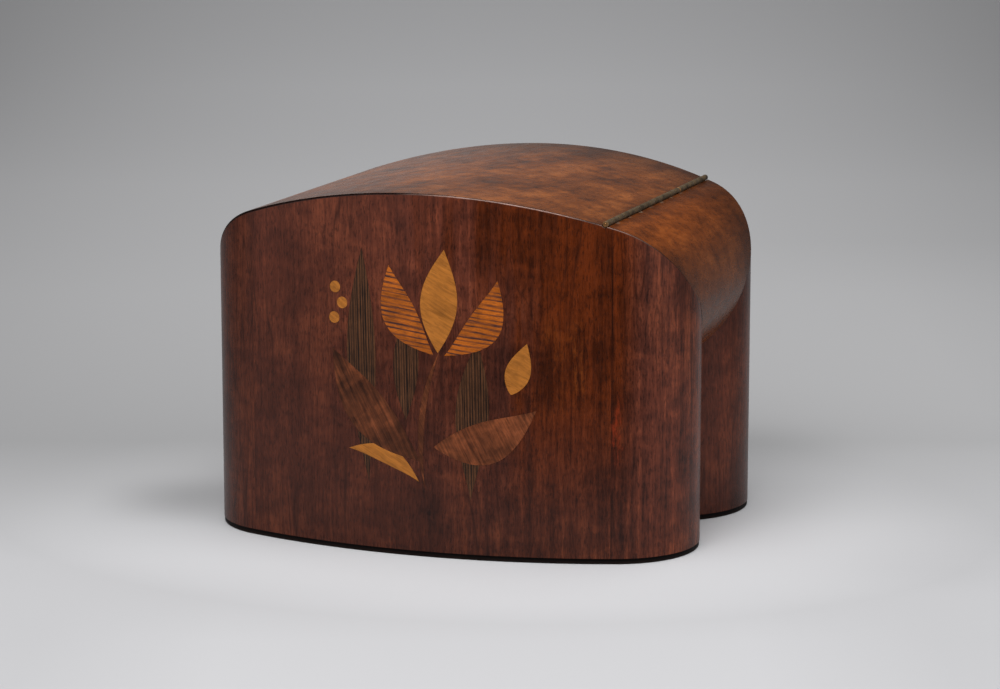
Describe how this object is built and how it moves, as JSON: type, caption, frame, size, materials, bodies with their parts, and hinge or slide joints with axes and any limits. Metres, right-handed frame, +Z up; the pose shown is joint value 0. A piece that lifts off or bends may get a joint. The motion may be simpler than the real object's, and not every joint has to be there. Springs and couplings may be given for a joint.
{
  "type": "inlaid box",
  "caption": "Wooden lidded box with bowed front and back, round corner lobes, an arched lid on a strip hinge near one end, and a floral marquetry front.",
  "frame": {"origin": "middle of the underside, on the surface that the box stands on", "axes": "+X to the right along the width, seen from the inlaid front; +Y to the back; +Z up"},
  "size_m": [0.3, 0.249, 0.2155],
  "materials": {
    "side_veneer": "polished straight-grained mahogany veneer",
    "top_veneer": "polished figured mahogany veneer",
    "black_base": "blackened, satin",
    "carcase": "plain sanded wood",
    "cedar": "bare planed wood",
    "bronze": "aged, dark olive",
    "satinwood": "polished veneer",
    "zebrawood": "polished veneer with cross streaks",
    "walnut": "polished veneer",
    "striped_ebony": "polished veneer with upright stripes"
  },
  "bodies": {
    "case": {"back_lining": "cedar", "back_panel": "side_veneer", "base_plate": "black_base", "bottom_board": "carcase", "fixed_end_roll": "top_veneer", "floor_lining": "cedar", "front_lining": "cedar", "front_panel": "side_veneer", "hinge_case_screw_1": "bronze", "hinge_case_screw_2": "bronze", "hinge_case_screw_3": "bronze", "hinge_case_screw_4": "bronze", "hinge_case_screw_5": "bronze", "hinge_case_screw_6": "bronze", "hinge_long_case_leaf": "bronze", "hinge_long_pin": "bronze", "hinge_short_case_leaf": "bronze", "hinge_short_pin": "bronze", "inlay_berry_1": "satinwood", "inlay_berry_2": "satinwood", "inlay_berry_3": "satinwood", "inlay_bud": "satinwood", "inlay_leaf_left": "walnut", "inlay_leaf_low": "satinwood", "inlay_leaf_right": "walnut", "inlay_petal_centre": "satinwood", "inlay_petal_left": "zebrawood", "inlay_petal_right": "zebrawood", "inlay_reed_left_1": "striped_ebony", "inlay_reed_left_2": "striped_ebony", "inlay_reed_left_3": "striped_ebony", "inlay_reed_middle": "striped_ebony", "inlay_reed_right_1": "striped_ebony", "inlay_reed_right_2": "striped_ebony", "inlay_stem": "walnut", "left_end_wall": "carcase", "left_lining": "cedar", "post_back_left": "side_veneer", "post_back_right": "side_veneer", "post_front_left": "side_veneer", "post_front_right": "side_veneer", "right_end_wall": "carcase", "right_lining": "cedar"},
    "lid": {"hinge_lid_screw_1": "bronze", "hinge_lid_screw_2": "bronze", "hinge_lid_screw_3": "bronze", "hinge_lid_screw_4": "bronze", "hinge_lid_screw_5": "bronze", "hinge_lid_screw_6": "bronze", "hinge_long_lid_leaf": "bronze", "hinge_short_lid_leaf": "bronze", "lid_end_roll": "top_veneer", "lid_lining": "cedar", "lid_panel": "top_veneer"}
  },
  "joints": [
    {"name": "lid_hinge", "type": "hinge", "parent": "case", "child": "lid", "pos_m": [0.10805, 0, 0.20031], "axis": [0, 1, 0], "range_deg": [0, 100]}
  ]
}
